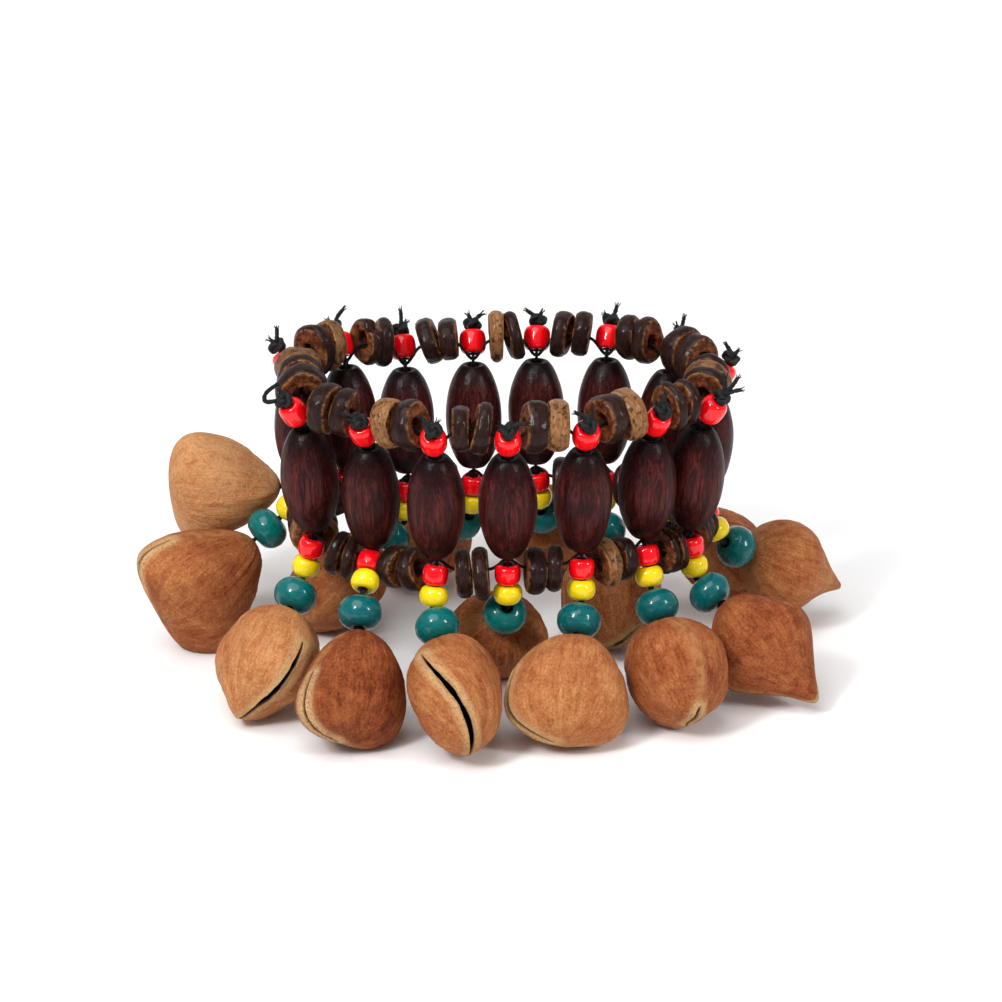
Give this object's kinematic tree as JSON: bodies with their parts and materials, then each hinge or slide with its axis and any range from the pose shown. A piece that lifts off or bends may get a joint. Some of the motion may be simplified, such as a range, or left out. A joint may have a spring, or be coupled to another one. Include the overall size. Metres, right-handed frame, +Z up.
{
  "type": "nutshell shaker bracelet",
  "caption": "Rattle bracelet: an oval ring of barrel beads and coconut discs on two elastics, with bead strands that end in hanging hollow nutshells.",
  "frame": {"origin": "centre of the bounding box in X and Y, at the table under the shells", "axes": "+Z up along the wrist opening, +X to the right along the oval's long way, -Y to the front"},
  "size_m": [0.13, 0.0969, 0.0613],
  "materials": {
    "nutshell": "satin, fibrous",
    "barrel_wood": "lacquered",
    "green_wood": "painted, semi-gloss",
    "red_glass": "glossy, opaque",
    "yellow_glass": "glossy, opaque",
    "coconut": "polished edge, porous faces",
    "cord": "waxed",
    "elastic": "matte"
  },
  "bodies": {
    "ring": {"upper_elastic": "elastic", "lower_elastic": "elastic", "barrel_beads": "barrel_wood", "top_red_beads": "red_glass", "lower_red_beads": "red_glass", "yellow_beads": "yellow_glass", "upper_coco_discs": "coconut", "lower_coco_discs": "coconut", "strand_cords": "cord", "top_knots": "cord"},
    "drop_01": {"drop_cord_01": "cord", "green_bead_01": "green_wood"},
    "drop_02": {"drop_cord_02": "cord", "green_bead_02": "green_wood"},
    "drop_03": {"drop_cord_03": "cord", "green_bead_03": "green_wood"},
    "drop_04": {"drop_cord_04": "cord", "green_bead_04": "green_wood"},
    "drop_05": {"drop_cord_05": "cord", "green_bead_05": "green_wood"},
    "drop_06": {"drop_cord_06": "cord", "green_bead_06": "green_wood"},
    "drop_07": {"drop_cord_07": "cord", "green_bead_07": "green_wood"},
    "drop_08": {"drop_cord_08": "cord", "green_bead_08": "green_wood"},
    "drop_09": {"drop_cord_09": "cord", "green_bead_09": "green_wood"},
    "drop_10": {"drop_cord_10": "cord", "green_bead_10": "green_wood"},
    "drop_11": {"drop_cord_11": "cord", "green_bead_11": "green_wood"},
    "drop_12": {"drop_cord_12": "cord", "green_bead_12": "green_wood"},
    "drop_13": {"drop_cord_13": "cord", "green_bead_13": "green_wood"},
    "drop_14": {"drop_cord_14": "cord", "green_bead_14": "green_wood"},
    "drop_15": {"drop_cord_15": "cord", "green_bead_15": "green_wood"},
    "shell_01": {"nutshell_01": "nutshell"},
    "shell_02": {"nutshell_02": "nutshell"},
    "shell_03": {"nutshell_03": "nutshell"},
    "shell_04": {"nutshell_04": "nutshell"},
    "shell_05": {"nutshell_05": "nutshell"},
    "shell_06": {"nutshell_06": "nutshell"},
    "shell_07": {"nutshell_07": "nutshell"},
    "shell_08": {"nutshell_08": "nutshell"},
    "shell_09": {"nutshell_09": "nutshell"},
    "shell_10": {"nutshell_10": "nutshell"},
    "shell_11": {"nutshell_11": "nutshell"},
    "shell_12": {"nutshell_12": "nutshell"},
    "shell_13": {"nutshell_13": "nutshell"},
    "shell_14": {"nutshell_14": "nutshell"},
    "shell_15": {"nutshell_15": "nutshell"}
  },
  "joints": [
    {"name": "swing_01", "type": "hinge", "parent": "ring", "child": "drop_01", "pos_m": [-0.03494, -0.00767, 0.0204], "axis": [-0.9063, 0.4226, 0], "range_deg": [-8, 5]},
    {"name": "spin_01", "type": "hinge", "parent": "drop_01", "child": "shell_01", "pos_m": [-0.03735, -0.01284, 0.01625], "axis": [-0.3419, -0.7332, -0.5878], "range_deg": [-12, 12]},
    {"name": "swing_02", "type": "hinge", "parent": "ring", "child": "drop_02", "pos_m": [-0.02377, -0.01983, 0.02308], "axis": [-0.9945, 0.1045, 0], "range_deg": [-3, 10]},
    {"name": "spin_02", "type": "hinge", "parent": "drop_02", "child": "shell_02", "pos_m": [-0.02429, -0.02479, 0.0181], "axis": [-0.0739, -0.7032, -0.7071], "range_deg": [-12, 12]},
    {"name": "swing_03", "type": "hinge", "parent": "ring", "child": "drop_03", "pos_m": [-0.01109, -0.02153, 0.02064], "axis": [-0.9613, -0.2756, 0], "range_deg": [-3, 4]},
    {"name": "spin_03", "type": "hinge", "parent": "drop_03", "child": "shell_03", "pos_m": [-0.00941, -0.02739, 0.01711], "axis": [0.2387, -0.8325, -0.5], "range_deg": [-8, 8]},
    {"name": "swing_04", "type": "hinge", "parent": "ring", "child": "drop_04", "pos_m": [0.00239, -0.01974, 0.0205], "axis": [-0.9848, -0.1736, 0], "range_deg": [-4, 30]},
    {"name": "spin_04", "type": "hinge", "parent": "drop_04", "child": "shell_04", "pos_m": [0.00151, -0.01475, 0.0156], "axis": [-0.1249, 0.7084, -0.6947], "range_deg": [-45, 45]},
    {"name": "swing_05", "type": "hinge", "parent": "ring", "child": "drop_05", "pos_m": [0.01569, -0.01852, 0.02062], "axis": [-0.9848, 0.1736, 0], "range_deg": [-4, 8]},
    {"name": "spin_05", "type": "hinge", "parent": "drop_05", "child": "shell_05", "pos_m": [0.01472, -0.02399, 0.01628], "axis": [-0.1368, -0.776, -0.6157], "range_deg": [-30, 30]},
    {"name": "swing_06", "type": "hinge", "parent": "ring", "child": "drop_06", "pos_m": [0.02847, -0.01294, 0.02051], "axis": [-0.9511, -0.309, 0], "range_deg": [-3, 15]},
    {"name": "spin_06", "type": "hinge", "parent": "drop_06", "child": "shell_06", "pos_m": [0.03026, -0.01843, 0.01647], "axis": [0.2531, -0.7791, -0.5736], "range_deg": [-20, 20]},
    {"name": "swing_07", "type": "hinge", "parent": "ring", "child": "drop_07", "pos_m": [0.0369, -0.00554, 0.01934], "axis": [-0.6428, -0.766, 0], "range_deg": [-3, 2]},
    {"name": "spin_07", "type": "hinge", "parent": "drop_07", "child": "shell_07", "pos_m": [0.04158, -0.00946, 0.01581], "axis": [0.6634, -0.5567, -0.5], "range_deg": [-45, 45]},
    {"name": "swing_08", "type": "hinge", "parent": "ring", "child": "drop_08", "pos_m": [0.04216, 0.00715, 0.02099], "axis": [0.5, -0.866, 0], "range_deg": [-7, 10]},
    {"name": "spin_08", "type": "hinge", "parent": "drop_08", "child": "shell_08", "pos_m": [0.04745, 0.0102, 0.01747], "axis": [0.75, 0.433, -0.5], "range_deg": [-45, 45]},
    {"name": "swing_09", "type": "hinge", "parent": "ring", "child": "drop_09", "pos_m": [0.03196, 0.01955, 0.01938], "axis": [0.5736, -0.8192, 0], "range_deg": [-20, 2]},
    {"name": "spin_09", "type": "hinge", "parent": "drop_09", "child": "shell_09", "pos_m": [0.03663, 0.02282, 0.01523], "axis": [0.6627, 0.464, -0.5878], "range_deg": [-45, 45]},
    {"name": "swing_10", "type": "hinge", "parent": "ring", "child": "drop_10", "pos_m": [0.02046, 0.02279, 0.01982], "axis": [0.9962, 0.0872, 0], "range_deg": [-4, 30]},
    {"name": "spin_10", "type": "hinge", "parent": "drop_10", "child": "shell_10", "pos_m": [0.02096, 0.01711, 0.01568], "axis": [0.0705, -0.8059, -0.5878], "range_deg": [-45, 45]},
    {"name": "swing_11", "type": "hinge", "parent": "ring", "child": "drop_11", "pos_m": [0.00856, 0.02564, 0.01947], "axis": [0.9848, -0.1736, 0], "range_deg": [-20, 6]},
    {"name": "spin_11", "type": "hinge", "parent": "drop_11", "child": "shell_11", "pos_m": [0.00954, 0.03119, 0.01523], "axis": [0.1387, 0.7865, -0.6018], "range_deg": [-45, 45]},
    {"name": "swing_12", "type": "hinge", "parent": "ring", "child": "drop_12", "pos_m": [-0.00445, 0.0239, 0.01904], "axis": [0.766, 0.6428, 0], "range_deg": [-15, 4]},
    {"name": "spin_12", "type": "hinge", "parent": "drop_12", "child": "shell_12", "pos_m": [-0.00812, 0.02827, 0.0149], "axis": [-0.52, 0.6197, -0.5878], "range_deg": [-45, 45]},
    {"name": "swing_13", "type": "hinge", "parent": "ring", "child": "drop_13", "pos_m": [-0.01696, 0.02147, 0.01858], "axis": [-0.5, 0.866, 0], "range_deg": [-20, 2]},
    {"name": "spin_13", "type": "hinge", "parent": "drop_13", "child": "shell_13", "pos_m": [-0.02208, 0.01852, 0.01474], "axis": [-0.7263, -0.4193, -0.5446], "range_deg": [-45, 45]},
    {"name": "swing_14", "type": "hinge", "parent": "ring", "child": "drop_14", "pos_m": [-0.03322, 0.02257, 0.02542], "axis": [0, 1, 0], "range_deg": [-4, 10]},
    {"name": "spin_14", "type": "hinge", "parent": "drop_14", "child": "shell_14", "pos_m": [-0.04027, 0.02257, 0.02542], "axis": [-1, 0, 0], "range_deg": [-45, 45]},
    {"name": "swing_15", "type": "hinge", "parent": "ring", "child": "drop_15", "pos_m": [-0.03958, 0.01354, 0.02343], "axis": [-0.4226, 0.9063, 0], "range_deg": [-15, 10]},
    {"name": "spin_15", "type": "hinge", "parent": "drop_15", "child": "shell_15", "pos_m": [-0.04488, 0.01107, 0.01949], "axis": [-0.7514, -0.3504, -0.5592], "range_deg": [-45, 45]}
  ]
}
